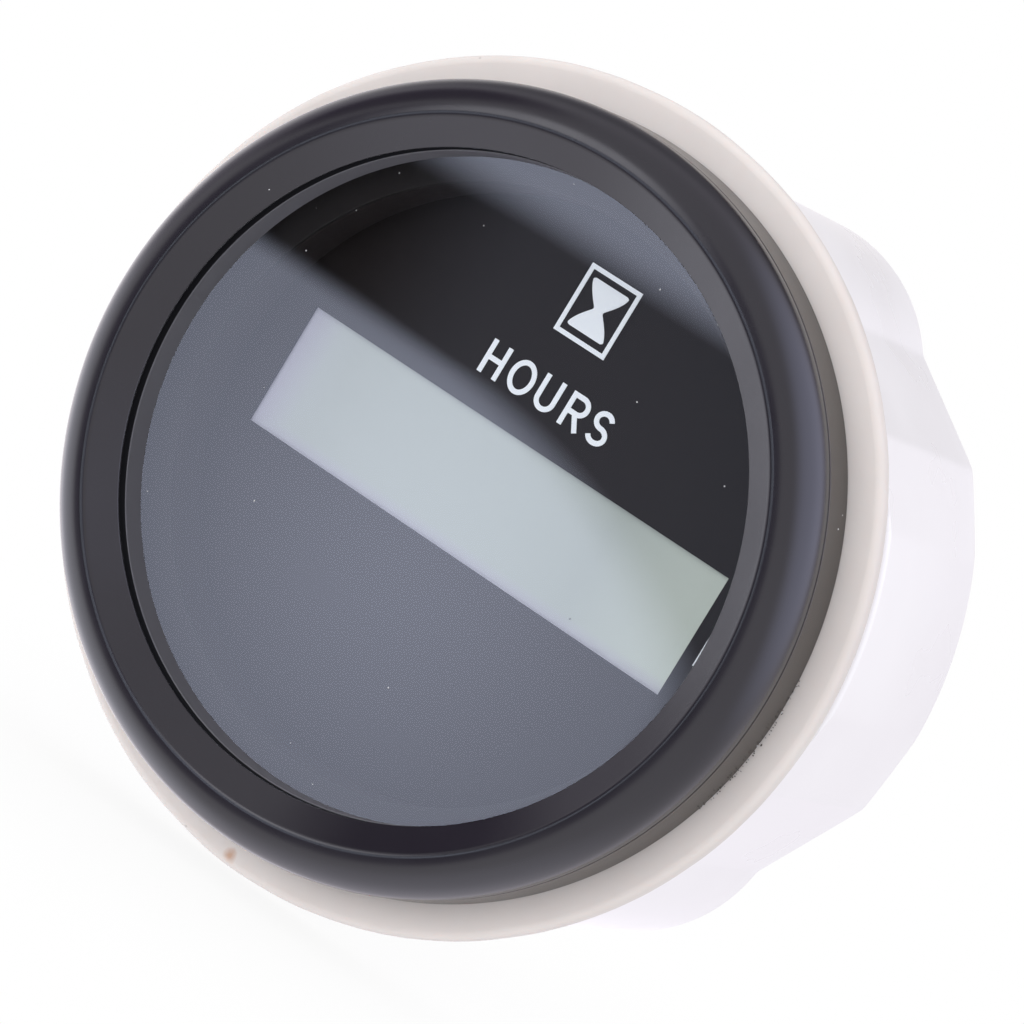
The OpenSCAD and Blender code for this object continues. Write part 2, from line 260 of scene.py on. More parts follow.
def satinBezelPaint(look, wallRadius, wallTop, gapTop, sideTop):
    # steel ring under satin black paint: soft sheen, faint orange peel, greyer and duller inside the lip, and
    # a lighter warm brown on the side wall that is a painted reflection of the white gasket
    material, tree, shader, place, output = startMaterial("satin black paint on steel")
    coat = blend(tree, noise(tree, place, look["cloud"]), look["dark"], look["light"])
    radius = vectors(tree, "LENGTH", vectors(tree, "MULTIPLY", place, (1, 0, 1)))
    depth = axes(tree, place)["Y"]
    # a zone is where the radius passes its limit and the depth lies behind its top
    limits = {"wall": ("LESS_THAN", wallRadius + look["wallMargin"], wallTop + look["wallRise"]),
              "side": ("GREATER_THAN", look["sideRadius"], sideTop),
              "gap": ("LESS_THAN", wallRadius + look["gapReach"], gapTop + look["gapRise"])}
    zones = {}
    for name, (test, limit, top) in limits.items():
        behind = maths(tree, "GREATER_THAN", depth, -top * mm)
        zones[name] = maths(tree, "MULTIPLY", maths(tree, test, radius, limit * mm), behind)
    # the wall zone turns greyer; the side zone takes the painted reflection of the gasket's warm white
    for name in ("wall", "side"):
        coat = blend(tree, zones[name], coat, look[name])
    gloss = fromNoise(tree, noise(tree, place, look["rub"], 4.0), look["glossiest"], look["dullest"])
    dull = maths(tree, "MULTIPLY_ADD", zones["wall"], look["wallDull"], gloss)
    peel = bumps(tree, noise(tree, place, look["peel"], 2.0), look["peelStrength"], look["peelDepth"])
    # painted shade: the paint's sheen is taken out in the gap under the lip's rim, so that the gap shows as a
    # dark shadow line
    gapShade = maths(tree, "SUBTRACT", zones["gap"], zones["wall"])
    shine = ramp(tree, gapShade, low=look["shine"], high=look["gapShine"])
    setInputs(tree, shader, {"Specular IOR Level": shine, "Base Color": coat, "Roughness": dull,
                             "Normal": peel})
    return material


clearLook = {"share": 0.08, "slantBlend": 0.5, "slantPower": 5.0, "faceBand": 0.1, "haze": 14.0,
             "clearest": 0.004, "haziest": 0.012, "mirror": "#ffffff", "tint": "#fbfcfc"}


def clearLensPlastic(look, face):
    # moulded clear acrylic: sees straight through, mirrors a little on its front, more at a slant
    material, tree, shader, place, output = startMaterial("clear moulded acrylic")
    slant = addNode(tree, "ShaderNodeLayerWeight", {"Blend": look["slantBlend"]}).outputs["Facing"]
    mirrored = ramp(tree, maths(tree, "POWER", slant, look["slantPower"]), low=look["share"])
    # both faces' shine is drawn on the front one, so that what touches the rear doesn't cut it off
    front = maths(tree, "LESS_THAN", axes(tree, place)["Y"], -(face - look["faceBand"]) * mm)
    share = maths(tree, "MULTIPLY", mirrored, front)
    blur = fromNoise(tree, noise(tree, place, look["haze"], 2.0), look["clearest"], look["haziest"])
    setInputs(tree, shader, {"Roughness": blur, "Base Color": look["mirror"], "Metallic": 1.0})
    clear = addNode(tree, "ShaderNodeBsdfTransparent", {"Color": look["tint"]})
    mixed = addNode(tree, "ShaderNodeMixShader", {0: share, 1: clear, 2: shader})
    setInputs(tree, output, {"Surface": mixed})
    return material


rubberLook = {"dark": "#cec7c4", "light": "#d8d2d0", "cloud": 6.0, "blot": 0.9, "markCore": 0.8,
              "markEdge": 1.6, "smoothest": 0.48, "roughest": 0.62, "relief": 0.03, "reliefStrength": 0.25,
              "milky": 0.3, "milkyReach": 1.2, "milkyColours": (1.0, 0.75, 0.65)}


def softWhiteRubber(look, marks):
    # soft white silicone: milky, warm, slightly uneven, with a smudge and two dark specks
    material, tree, shader, place, output = startMaterial("soft white silicone rubber")
    cloud = noise(tree, place, look["cloud"], 4.0)
    base = blend(tree, cloud, look["dark"], look["light"])
    blot = noise(tree, place, look["blot"])
    for mark in marks:
        size = mark["size"] * mm
        away = vectors(tree, "DISTANCE", place, mark["spot"])
        ragged = maths(tree, "MULTIPLY_ADD", blot, size, away)
        cover = ramp(tree, ragged, size * look["markCore"], size * look["markEdge"], mark["strength"], 0.0)
        base = blend(tree, cover, base, mark["colour"])
    skin = fromNoise(tree, cloud, look["smoothest"], look["roughest"])
    relief = bumps(tree, blot, look["reliefStrength"], look["relief"])
    setInputs(tree, shader, {"Base Color": base, "Roughness": skin, "Normal": relief,
                             "Subsurface Weight": look["milky"], "Subsurface Radius": look["milkyColours"],
                             "Subsurface Scale": look["milkyReach"] * mm})
    return material


nylonLook = {"cloud": 11.0, "glossiest": 0.26, "dullest": 0.34, "ior": 1.53}


def glossyNylon(look, name, light, dark):
    # injection-moulded white nylon: even, glossy, faintly cloudy in tone and sheen
    material, tree, shader, place, output = startMaterial(name)
    cloud = noise(tree, place, look["cloud"])
    gloss = fromNoise(tree, cloud, look["glossiest"], look["dullest"])
    setInputs(tree, shader, {"Base Color": blend(tree, cloud, dark, light), "Roughness": gloss,
                             "IOR": look["ior"]})
    return material


def grainedSolid(name, light, dark, grain, roughness, metal=0.0, relief=0.01, shine=0.5, wear=0.06,
                 strength=0.2):
    # plain moulded, plated or printed solid with a visible grain of its own size in millimetres
    material, tree, shader, place, output = startMaterial(name)
    speck = noise(tree, place, grain)
    worn = fromNoise(tree, speck, roughness - wear, roughness + wear)
    setInputs(tree, shader, {"Base Color": blend(tree, speck, dark, light), "Roughness": worn,
                             "Normal": bumps(tree, speck, strength, relief), "Metallic": metal,
                             "Specular IOR Level": shine})
    return material


# ends and between give the tone along the film; the right end's extra lightness is painted light against the
# well's shade
filmLook = {"low": -4.9, "left": -20.5, "right": 20.5, "rim": 1.2, "sideRim": 3.0, "rimCover": 0.8,
            "sideCover": 0.9, "ends": ("#b4b9bd", "#bfc7c0"),
            "between": ((0.12, "#aab0af"), (0.75, "#a6adab")), "rimShadeColour": "#aca8ba",
            "dotAt": (11.1, -3.84), "dotSize": 0.09, "dotColour": "#6a6c70", "grain": 0.25, "darker": 0.985,
            "lighter": 1.015, "smoothest": 0.42, "roughest": 0.54}


def displayFilm(look):
    # switched-off liquid crystal cell: matt pale grey film, greener to the right, with a lavender tint along
    # two rims as painted shade from the window's edges
    material, tree, shader, place, output = startMaterial("grey polariser film on glass")
    spread = axes(tree, place)
    low, left, right = look["low"] * mm, look["left"] * mm, look["right"] * mm
    # tone along the film, lighter at both ends than in the middle; at the right end this is painted light
    # that makes up for the shade of the well's wall
    colours = addNode(tree, "ShaderNodeValToRGB", {0: ramp(tree, spread["X"], left, right)})
    stops = colours.color_ramp.elements
    for stop, colour in zip(stops, look["ends"]):
        stop.color = fromHex(colour)
    for share, colour in look["between"]:
        stops.new(share).color = fromHex(colour)
    film = noise(tree, place, look["grain"], 2.0)
    tone = scaled(tree, colours, ramp(tree, film, low=look["darker"], high=look["lighter"]))
    # painted shade: the lavender tint along the lower and left rims stands in for the shadow that the dial
    # window's edges cast on the film
    foot = ramp(tree, spread["Z"], low, (look["low"] + look["rim"]) * mm, look["rimCover"], 0.0)
    side = ramp(tree, spread["X"], left, (look["left"] + look["sideRim"]) * mm, look["sideCover"], 0.0)
    rimShaded = blend(tree, maths(tree, "MAXIMUM", foot, side), tone, look["rimShadeColour"])
    level = vectors(tree, "MULTIPLY", place, (1, 0, 1))
    away = vectors(tree, "DISTANCE", level, (look["dotAt"][0] * mm, 0, look["dotAt"][1] * mm))
    dot = maths(tree, "LESS_THAN", away, look["dotSize"] * mm)
    satin = ramp(tree, film, low=look["smoothest"], high=look["roughest"])
    setInputs(tree, shader, {"Base Color": blend(tree, dot, rimShaded, look["dotColour"]), "Roughness": satin})
    return material


cellFilm = displayFilm(filmLook)
whiteNylon = glossyNylon(nylonLook, "moulded white nylon", "#f3f1f5", "#efedf2")
housingNylon = glossyNylon(nylonLook, "moulded white housing nylon", "#ecebee", "#e4e3e7")

# solids below: name, light and dark tone, grain in millimetres, roughness
# printed sheet, moulded well and seal: deep matt blacks that take almost no shine
dialBlack = grainedSolid("matt black printed sheet", "#252122", "#221f20", 0.3, 0.7, relief=0.002,
                         shine=0.05)
wellBlack = grainedSolid("matt black moulded ABS", "#383334", "#322e2f", 0.5, 0.7, relief=0.002, shine=0.05)
sealRubber = grainedSolid("black moulded rubber", "#2b2829", "#262425", 0.6, 0.7, relief=0.003, shine=0.1)
# screen ink: dense, faintly cool white with a soft edge of grain
whiteInk = grainedSolid("screen-printed white ink", "#f6f9ff", "#eceffc", 0.22, 0.5, relief=0.003,
                        shine=0.2)
# lint and crumbs: dry specks without shine
paleDust = grainedSolid("pale lint and dust", "#dcdcdf", "#b9b9bd", 0.1, 0.9, shine=0.1)
darkCrumb = grainedSolid("dark paint crumbs", "#3a3532", "#231f1d", 0.2, 0.8, shine=0.2)
# chips and board: charcoal satin bodies on a glossier green mask
blackEpoxy = grainedSolid("black moulded epoxy", "#2c2c2e", "#242426", 0.3, 0.55)
boardGreen = grainedSolid("green solder mask", "#2f7350", "#266142", 1.2, 0.35)
# plated and stamped metal: bright cool grey, and warm yellow with soft highlights
brightSteel = grainedSolid("nickel-plated steel", "#cfd1d3", "#bfc1c4", 0.8, 0.28, metal=1.0)
bladeBrass = grainedSolid("stamped brass", "#d8b465", "#c9a24f", 0.9, 0.3, metal=1.0)
# plastics inside: glossy sleeve, milky guide, off-white frame, dull grey strip, pale yellow lamp
capSleeve = grainedSolid("blue shrink sleeve", "#41527a", "#36466a", 1.5, 0.3)
milkyGuide = grainedSolid("milky acrylic", "#eef3f4", "#e2e8ea", 2.0, 0.4)
frameWhite = grainedSolid("moulded white ABS", "#eeeee9", "#e2e2dc", 1.0, 0.45)
stripGrey = grainedSolid("zebra silicone strip", "#7a7d83", "#5f6268", 0.4, 0.65)
lampYellow = grainedSolid("yellow phosphor lamp", "#f6f0bf", "#ece09a", 0.5, 0.4)
print("materials made")


# lathe: a section swept round the axis

def latheTree():
    tree, given = startTree("latheRing", ["Core Radius", "Ripple", "Ripple Size"], ["Segments"])
    section = addNode(tree, "GeometryNodeMeshToCurve", {"Mesh": given["Shape"]})
    path = addNode(tree, "GeometryNodeCurvePrimitiveCircle", {"Resolution": given["Segments"],
                                                              "Radius": given["Core Radius"]})
    upright = addNode(tree, "GeometryNodeSetCurveNormal", {"Curve": path}, mode="Z_UP")
    swept = addNode(tree, "GeometryNodeCurveToMesh", {"Curve": upright, "Profile Curve": section})
    turned = addNode(tree, "GeometryNodeTransform", {"Geometry": swept, "Rotation": (math.pi / 2, 0, 0)})
    spot = addNode(tree, "GeometryNodeInputPosition").outputs[0]
    waves = addNode(tree, "ShaderNodeTexNoise",
                    {"Vector": spot, "Scale": given["Ripple Size"], "Detail": 3.0})
    swing = fromNoise(tree, waves, -1.0, 0.0, least=0.25, most=0.75)
    unit = vectors(tree, "NORMALIZE", vectors(tree, "MULTIPLY", spot, (1, 0, 1)))
    shift = scaled(tree, unit, maths(tree, "MULTIPLY", swing, given["Ripple"]))
    moved = addNode(tree, "GeometryNodeSetPosition", {"Geometry": turned, "Offset": shift})
    return endTree(tree, moved, given["Finish"])


lathe = latheTree()


def latheRing(name, section, material, segments=288, ripple=0.0, rippleSize=9.0):
    # section is a closed list of (radius, height towards the front) in millimetres
    core = max(r for r, z in section)
    shape = bmesh.new()
    ring = [shape.verts.new(((r - core) * mm, -z * mm, 0)) for r, z in section]
    for i, vert in enumerate(ring):
        shape.edges.new((ring[i - 1], vert))
    piece = meshPiece(name, shape, material)
    return runNodes(piece, lathe, {"Core Radius": core * mm, "Segments": segments, "Ripple": ripple * mm,
                                   "Ripple Size": perMetre(rippleSize), "Finish": material})


def nodeSpan(node):
    # outer radius, rear height and front height of a round node in millimetres
    low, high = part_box(node)
    return high.x / mm, -high.y / mm, -low.y / mm


def ringSection(bore, radius, rear, front, boreRounds=(0, 0), outerRound=0):
    # plain ring, its bore rounded by two radii from the rear to the front
    return roundedCorners([(bore, rear, boreRounds[0]), (radius, rear, outerRound),
                           (radius, front, outerRound), (bore, front, boreRounds[1])])


# bezel: rolled ring with a lip, an inner slope, a crest and a rounded outer slope

bezelLook = {"crestInset": 3.0, "crestRadius": 0.7, "crestEnd": 79.0, "lipDrop": 1.7, "lipRadius": 25.57,
             "lipRound": 0.12, "rimThick": 0.18, "rimRound": 0.03, "wallRadius": 25.5, "wallDrop": 2.9,
             "wallRound": 0.06, "gapDepth": 0.55, "slopeRadius": 3.4, "sideHeight": 4.15, "flare": 0.15,
             "seamDrop": 0.2, "seamWidth": 0.24, "seamDepth": 0.16, "seamRound": 0.05, "rollBore": 28.4,
             "rollThick": 0.8, "rollRound": 0.2, "cupRadius": 30.0, "rearRound": 0.1, "guard": 0.08,
             "crestSteps": 12, "slopeSteps": 18}


def bezelSection(look):
    outer, rear, front = nodeSpan("bezel")
    lensFace = nodeSpan("lens")[2]
    crest = Vector((outer - look["crestInset"], front - look["crestRadius"]))
    lip = Vector((look["lipRadius"], front - look["lipDrop"]))
    edge = Vector((outer, rear + look["sideHeight"]))
    # the inner slope runs from the lip to the crest's rounding without a kink
    climb = crest - lip
    tilt = math.degrees(math.atan2(climb.y, climb.x) + math.asin(look["crestRadius"] / climb.length))
    roll = arcPoints(crest, look["crestRadius"], tilt + 90, look["crestEnd"], look["crestSteps"])
    foot = Vector(roll[0])
    beside = foot + (lip - foot).normalized() * look["guard"]
    top = Vector(roll[-1])
    chord = edge - top
    across = Vector((chord.y, -chord.x)).normalized()
    centre = (top + edge) / 2 + across * math.sqrt(look["slopeRadius"] ** 2 - (chord.length / 2) ** 2)
    start, end = (math.degrees(math.atan2(p.y - centre.y, p.x - centre.x)) for p in (top, edge))
    slope = arcPoints(centre, look["slopeRadius"], start, end, look["slopeSteps"])[1:-1]
    # inner wall, shadow gap under the lip's rim, lip
    wall, gap = look["wallRadius"], look["wallRadius"] + look["gapDepth"]
    wallTop, rim = front - look["wallDrop"], lip.y - look["rimThick"]
    corners = [(wall, lensFace, 0), (wall, wallTop, look["wallRound"]), (gap, wallTop, 0), (gap, rim, 0),
               (lip.x, rim, look["rimRound"]), (*lip, look["lipRound"])]
    corners += [(*p, 0) for p in [beside] + roll + slope]
    # edge and the fine seam below it, then the flared side and the roll
    seamTop, seamFoot = edge.y - look["seamDrop"], edge.y - look["seamDrop"] - look["seamWidth"]
    seamFloor, rollFront = outer - look["seamDepth"], rear + look["rollThick"]
    corners += [(*edge, 0), (outer, seamTop, look["seamRound"]), (seamFloor, seamTop, 0),
                (seamFloor, seamFoot, 0), (outer, seamFoot, look["seamRound"]),
                (outer + look["flare"], rear, look["rearRound"]),
                (look["rollBore"], rear, look["rollRound"]),
                (look["rollBore"], rollFront, look["rollRound"]), (look["cupRadius"], rollFront, 0),
                (look["cupRadius"], lensFace, 0)]
    return roundedCorners(corners)


bezelRear, bezelFront = nodeSpan("bezel")[1:]
bezelPaint = satinBezelPaint(paintLook, bezelLook["wallRadius"], bezelFront - bezelLook["wallDrop"],
                             bezelFront - bezelLook["lipDrop"] - bezelLook["rimThick"],
                             bezelRear + bezelLook["sideHeight"] - bezelLook["seamDrop"])
bezel = latheRing("bezelRing", bezelSection(bezelLook), bezelPaint, segments=360)
finishPiece(bezel, "meter", ["bezel"])
bezel.visible_glossy = False    # the lens mirrors the studio up to its edge, not the lip
print("bezel made")


# lens, seal and spacer ring under the lip

lensLook = {"edgeRound": 0.25}
lensRadius, lensRear, lensFace = nodeSpan("lens")
lensPlastic = clearLensPlastic(clearLook, lensFace)
lensSection = ringSection(0, lensRadius, lensRear, lensFace, outerRound=lensLook["edgeRound"])
lens = latheRing("lensDisc", lensSection, lensPlastic, segments=192)
finishPiece(lens, "meter", ["lens"])

wellLook = {"spacerWall": 0.6, "sealBore": 23.9, "rimRound": 0.15, "gap": 0.01}
radius, rear, front = nodeSpan("dial_spacer")
spacerSection = ringSection(radius - wellLook["spacerWall"], radius, rear, front,
                            boreRounds=(0, wellLook["rimRound"]))
spacer = latheRing("dialSpacerRing", spacerSection, wellBlack, segments=240)
finishPiece(spacer, "meter", ["dial_spacer"])
radius, rear, front = nodeSpan("lens_seal")
sealSection = ringSection(wellLook["sealBore"], radius, rear, front - wellLook["gap"],
                          boreRounds=(wellLook["rimRound"], wellLook["rimRound"]))
seal = latheRing("lensSealRing", sealSection, sealRubber, segments=240)
finishPiece(seal, "meter", ["lens_seal"])
print("lens, seal and spacer made")


# panel gasket: soft washer with a slightly uneven cut edge

gasketLook = {"bore": 28.4, "edgeRound": 0.7, "ripple": 0.12, "rippleSize": 8.0}
gasketRadius, gasketRear, gasketFront = nodeSpan("panel_gasket")
gasketMarks = [
    {"spot": facing(-0.6, gasketFront, -33.0), "size": 0.62, "strength": 0.75, "colour": "#b58a6c"},
    {"spot": facing(-5.1, gasketFront, -33.3), "size": 0.22, "strength": 0.95, "colour": "#1b1a1a"},
    {"spot": facing(-17.2, gasketFront, 29.0), "size": 0.22, "strength": 0.95, "colour": "#1b1a1a"}]
gasketRubber = softWhiteRubber(rubberLook, gasketMarks)
gasketSection = ringSection(gasketLook["bore"], gasketRadius, gasketRear, gasketFront,
                            outerRound=gasketLook["edgeRound"])
gasket = latheRing("panelGasketWasher", gasketSection, gasketRubber, segments=360,
                   ripple=gasketLook["ripple"], rippleSize=gasketLook["rippleSize"])
finishPiece(gasket, "meter", ["panel_gasket"])
print("gasket made")


# ring nut: two broad lobes with a round crown, flat shoulders and flanks, a rounded rib on both sides of each

nutLook = {"lobes": 2, "crown": 33.85, "crownAngle": 12.0, "shoulderAngle": 24.5, "valleyAngle": 42.0,
           "shoulderDrop": 0.3, "valleyDrop": 1.95, "ribAngle": 55.0, "ribDrop": 0.6, "ribRadius": 13.0,
           "waistDrop": 2.85, "turn": 14.5, "chamfer": 0.7, "bore": 26.05, "samples": 720, "edgeBlend": 0.9,
           "chamferSteps": 6}


def chordRadius(near, far, angle):
    # radius at an angle on the straight line between two (radius, angle) points, angles in degrees
    first = Vector((near[0] * math.cos(math.radians(near[1])), near[0] * math.sin(math.radians(near[1]))))
    second = Vector((far[0] * math.cos(math.radians(far[1])), far[0] * math.sin(math.radians(far[1]))))
    normal = Vector((second.y - first.y, first.x - second.x)).normalized()
    way = Vector((math.cos(math.radians(angle)), math.sin(math.radians(angle))))
    return first.dot(normal) / way.dot(normal)


def nutRadius(look, angle):
    # outline at an angle in degrees from the first lobe's middle
    pitch = 360 / look["lobes"]
    off = abs((angle + pitch / 2) % pitch - pitch / 2)
    crown = look["crown"]
    shoulder = (crown - look["shoulderDrop"], look["shoulderAngle"])
    valley = (crown - look["valleyDrop"], look["valleyAngle"])
    if off <= look["crownAngle"]:
        lobe = crown
    elif off <= look["shoulderAngle"]:
        lobe = chordRadius((crown, look["crownAngle"]), shoulder, off)
    else:
        lobe = chordRadius(shoulder, valley, min(off, look["valleyAngle"]))
        lobe = lobe if off <= look["valleyAngle"] else 0
    away = math.radians(off - look["ribAngle"])
    middle = crown - look["ribDrop"] - look["ribRadius"]
    inside = look["ribRadius"] ** 2 - (middle * math.sin(away)) ** 2
    rib = middle * math.cos(away) + math.sqrt(inside) if inside > 0 else 0
    return max(lobe, rib, crown - look["waistDrop"])


def nutMesh(look):
    count = look["samples"]
    step = 360 / count
    raw = [nutRadius(look, i * step - look["turn"]) for i in range(count)]
    # corners rounded by a running mean along the outline
    reach = max(1, int(look["edgeBlend"] / step))
    weights = {k: reach + 1 - abs(k) for k in range(-reach, reach + 1)}
    outline = [sum(w * raw[(i + k) % count] for k, w in weights.items()) / sum(weights.values())
               for i in range(count)]
    low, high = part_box("ring_nut")
    front, rear = low.y, high.y
    steps = look["chamferSteps"]
    cut = look["chamfer"]
    # distance from the end and the largest radius there, along a rounded chamfer
    ends = []
    for k in range(steps + 1):
        turn = math.pi / 2 * k / steps
        ends.append((cut * (1 - math.cos(turn)), look["crown"] - cut + cut * math.sin(turn)))
    rows = [(front + d * mm, r) for d, r in ends] + [(rear - d * mm, r) for d, r in reversed(ends)]
    shape = bmesh.new()
    rings = []
    ways = [(math.cos(math.radians(i * step)), math.sin(math.radians(i * step))) for i in range(count)]
    for y, limit in rows:
        rings.append([shape.verts.new((min(r, limit) * mm * c, y, min(r, limit) * mm * s))
                      for r, (c, s) in zip(outline, ways)])
    for y, r in ((rear, look["bore"] + cut), (rear - cut * mm, look["bore"]),
                 (front + cut * mm, look["bore"]), (front, look["bore"] + cut)):
        rings.append([shape.verts.new((r * mm * c, y, r * mm * s)) for c, s in ways])
    for k, ring in enumerate(rings):
        after = rings[(k + 1) % len(rings)]
        for i in range(count):
            shape.faces.new((ring[i - 1], ring[i], after[i], after[i - 1]))
    return shape


nut = meshPiece("ringNut", nutMesh(nutLook), whiteNylon)
finishPiece(nut, "nut", ["ring_nut"], sharpAngle=30)
print("ring nut made")


# housing: cup with a lead-in, blade collars and moulded polarity signs on its rear

housingLook = {"flange": 29.9, "flangeRear": 2.6, "register": 28.2, "registerRear": 0.75, "barrel": 25.7,
               "threadEnd": -24.5, "pilot": 25.3, "depth": -32.0, "chamfer": 0.8, "recess": 27.2,
               "recessFloor": 1.75, "bore": 24.7, "ledge": 22.7, "ledgeAt": -13.0, "floor": -30.0,
               "edgeRound": 0.2, "collarWall": 1.2, "collarRound": 0.5, "collarHeight": 2.0,
               "bladeWidth": 6.3, "bladeThick": 0.8, "slotGap": 0.05, "signHeight": 0.35, "signSize": 3.0,
               "signWidth": 0.8, "signDrop": 5.2, "signStep": 0.05, "signRound": 0.15, "sink": 0.3}
bladePlaces = {"supply_terminal": (-9.0, -4.0), "ground_terminal": (9.0, -4.0), "lamp_terminal": (0.0, 4.0)}


def housingSection(look):
    edge = look["edgeRound"]
    sizes = dict(look, axis=0, front=nodeSpan("housing")[2], leadIn=look["pilot"] - look["chamfer"],
                 leadEnd=look["depth"] + look["chamfer"])
    corners = [("axis", "depth", 0), ("leadIn", "depth", edge), ("pilot", "leadEnd", edge),
               ("pilot", "threadEnd", 0), ("barrel", "threadEnd", edge), ("barrel", "registerRear", 0),
               ("register", "registerRear", edge), ("register", "flangeRear", 0),
               ("flange", "flangeRear", edge), ("flange", "front", edge), ("recess", "front", edge),
               ("recess", "recessFloor", 0), ("bore", "recessFloor", 0), ("bore", "ledgeAt", 0),
               ("ledge", "ledgeAt", 0), ("ledge", "floor", 0), ("axis", "floor", 0)]
    return roundedCorners([(sizes[across], sizes[along], radius) for across, along, radius in corners])


def roundedBlock(shape, centre, size, radius, low, high, steps=4, softest=0.25):
    # upright block with rounded corners between two heights towards the front
    half = (size[0] / 2, size[1] / 2)
    corners = [(half[0], half[1], radius), (-half[0], half[1], radius),
               (-half[0], -half[1], radius), (half[0], -half[1], radius)]
    outline = roundedCorners(corners, steps)
    soft = min(radius, softest)
    levels = [(high, 0.0)] + [(low + soft * (1 - math.sin(a)), soft * (1 - math.cos(a)))
                              for a in (0, math.pi / 6, math.pi / 3, math.pi / 2)]
    rings = []
    for z, inset in levels:
        rings.append([shape.verts.new(facing(centre[0] + x * (1 - inset / half[0]), z,
                                             centre[1] + y * (1 - inset / half[1]))) for x, y in outline])
    for first, second in zip(rings, rings[1:]):
        for i in range(len(first)):
            shape.faces.new((first[i - 1], first[i], second[i], second[i - 1]))
    shape.faces.new(rings[0])
    shape.faces.new(rings[-1])


def housingExtras(look):
    shape = bmesh.new()
    wide = look["bladeWidth"] + 2 * look["collarWall"]
    tall = look["bladeThick"] + 2 * look["collarWall"]
    # collars and signs are rooted in the wall, so that no face lies on its face
    root = look["depth"] + look["sink"]
    for place in bladePlaces.values():
        roundedBlock(shape, place, (wide, tall), look["collarRound"], look["depth"] - look["collarHeight"],
                     root)
    supply, ground = bladePlaces["supply_terminal"], bladePlaces["ground_terminal"]
    low = look["depth"] - look["signHeight"]
    for (x, y), upright in ((supply, True), (ground, False)):
        at = (x, y - look["signDrop"])
        roundedBlock(shape, at, (look["signSize"], look["signWidth"]), look["signRound"], low, root)
        if upright:
            # the upright bar of the plus stands a little higher than the level one
            upper = low - look["signStep"]
            roundedBlock(shape, at, (look["signWidth"], look["signSize"]), look["signRound"], upper, root)
    return shape


housing = latheRing("housingCup", housingSection(housingLook), housingNylon, segments=288)
extras = meshPiece("housingExtras", housingExtras(housingLook), housingNylon)
joined = bmesh.new()
joined.from_mesh(housing.data)
joined.from_mesh(extras.data)
joined.to_mesh(housing.data)
joined.free()
bpy.data.objects.remove(extras)
finishPiece(housing, "meter", ["housing"])
print("housing made")


# barrel thread: a trapezoid ridge wound along the barrel

threadLook = {"root": 25.8, "height": 0.36, "pitch": 2.0, "footWidth": 1.25, "topWidth": 0.45,
              "start": -0.9, "end": -23.6, "stepsPerTurn": 160}


def threadTree():
    tree, given = startTree("barrelThread", ["Root Radius", "Turns", "Length", "Tooth Height", "Foot Width",
                                             "Top Width", "Start"], ["Steps"])
    helix = addNode(tree, "GeometryNodeCurveSpiral",
                    {"Resolution": given["Steps"], "Rotations": given["Turns"], "Height": given["Length"],
                     "Start Radius": given["Root Radius"], "End Radius": given["Root Radius"]})
    upright = addNode(tree, "GeometryNodeSetCurveNormal", {"Curve": helix}, mode="Z_UP")
    tooth = addNode(tree, "GeometryNodeCurvePrimitiveQuadrilateral",
                    {"Height": given["Tooth Height"], "Bottom Width": given["Foot Width"],
                     "Top Width": given["Top Width"], "Offset": 0.0}, mode="TRAPEZOID")
    raised = addNode(tree, "GeometryNodeTransform", {"Geometry": tooth, "Rotation": (0, 0, -math.pi / 2)})
    swept = addNode(tree, "GeometryNodeCurveToMesh",
                    {"Curve": upright, "Profile Curve": raised, "Fill Caps": True})
    lift = addNode(tree, "ShaderNodeCombineXYZ", {"Z": given["Start"]})
    placed = addNode(tree, "GeometryNodeTransform", {"Geometry": swept, "Translation": lift})
    turned = addNode(tree, "GeometryNodeTransform", {"Geometry": placed, "Rotation": (math.pi / 2, 0, 0)})
    return endTree(tree, turned, given["Finish"])


threadLength = threadLook["start"] - threadLook["end"]
thread = newPiece("barrelThread", bpy.data.meshes.new("barrelThread"))
runNodes(thread, threadTree(), {
    "Root Radius": threadLook["root"] * mm, "Turns": threadLength / threadLook["pitch"],
    "Length": threadLength * mm, "Steps": threadLook["stepsPerTurn"],
    "Tooth Height": threadLook["height"] * mm, "Foot Width": threadLook["footWidth"] * mm,
    "Top Width": threadLook["topWidth"] * mm, "Start": threadLook["end"] * mm, "Finish": housingNylon})
finishPiece(thread, "meter")
print("thread made")


# dial print: strokes of white ink on the black dial

printLook = {"thick": 0.03, "layer": 0.002, "stroke": 0.42, "capHeight": 2.85, "baseline": 8.24,
             "frameStroke": 0.37}
dialFace = nodeSpan("dial_plate")[2]


def inkStroke(shape, path, widths, closed, thick):
    # flat ribbon of ink along a path of (across, up) points in millimetres, with its own width at each point
    count = len(path)
    rings = []
    for i, (x, y) in enumerate(path):
        back = Vector(path[i - 1]) if closed or i else Vector(path[i])
        ahead = Vector(path[(i + 1) % count]) if closed or i < count - 1 else Vector(path[i])
        way = (Vector((x, y)) - back).normalized() + (ahead - Vector((x, y))).normalized()
        way.normalize()
        into = (ahead - Vector((x, y))).normalized() if closed or i < count - 1 else way
        side = Vector((-way.y, way.x))
        mitre = max(0.5, abs(way.dot(into)))
        half = widths[i] / 2 / mitre
        left, right = Vector((x, y)) + side * half, Vector((x, y)) - side * half
        rings.append([shape.verts.new(facing(p.x, dialFace + z, p.y))
                      for p, z in ((left, thick), (right, thick), (right, 0), (left, 0))])
    pairs = list(zip(rings, rings[1:])) + ([(rings[-1], rings[0])] if closed else [])
    for first, second in pairs:
        for k in range(4):
            shape.faces.new((first[k - 1], first[k], second[k], second[k - 1]))
    if not closed:
        shape.faces.new(rings[0])
        shape.faces.new(rings[-1])


